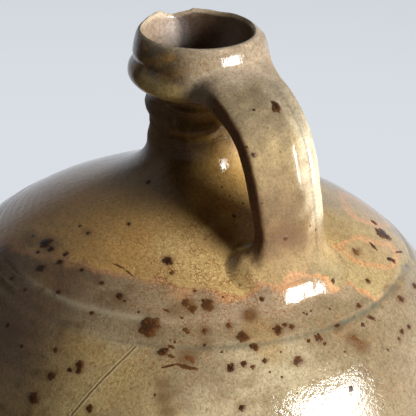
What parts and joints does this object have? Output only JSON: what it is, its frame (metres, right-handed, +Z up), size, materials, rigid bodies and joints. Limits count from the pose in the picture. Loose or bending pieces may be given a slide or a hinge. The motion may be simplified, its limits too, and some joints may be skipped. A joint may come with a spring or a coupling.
{
  "type": "jug",
  "caption": "Ovoid glazed stoneware jug with a narrow ringed neck, a rolled collar and a pulled strap handle, for storing and pouring liquids.",
  "frame": {"origin": "centre of the flat base, on the surface that the jug stands on", "axes": "+Z up along the jug's turning axis, +X towards the handle"},
  "size_m": [0.272, 0.272, 0.385],
  "materials": {
    "body_glaze": "glossy grey-tan glaze with iron spots",
    "shoulder_glaze": "glossy straw-coloured crazed glaze",
    "neck_glaze": "glossy amber-brown glaze",
    "collar_glaze": "glossy tan glaze, worn at the lip",
    "handle_glaze": "glossy straw-coloured glaze"
  },
  "bodies": {
    "root": {"lower_body": "body_glaze", "shoulder": "shoulder_glaze", "neck": "neck_glaze", "collar": "collar_glaze", "handle_root": "handle_glaze", "handle_strap": "handle_glaze", "handle_foot": "handle_glaze"}
  },
  "joints": []
}
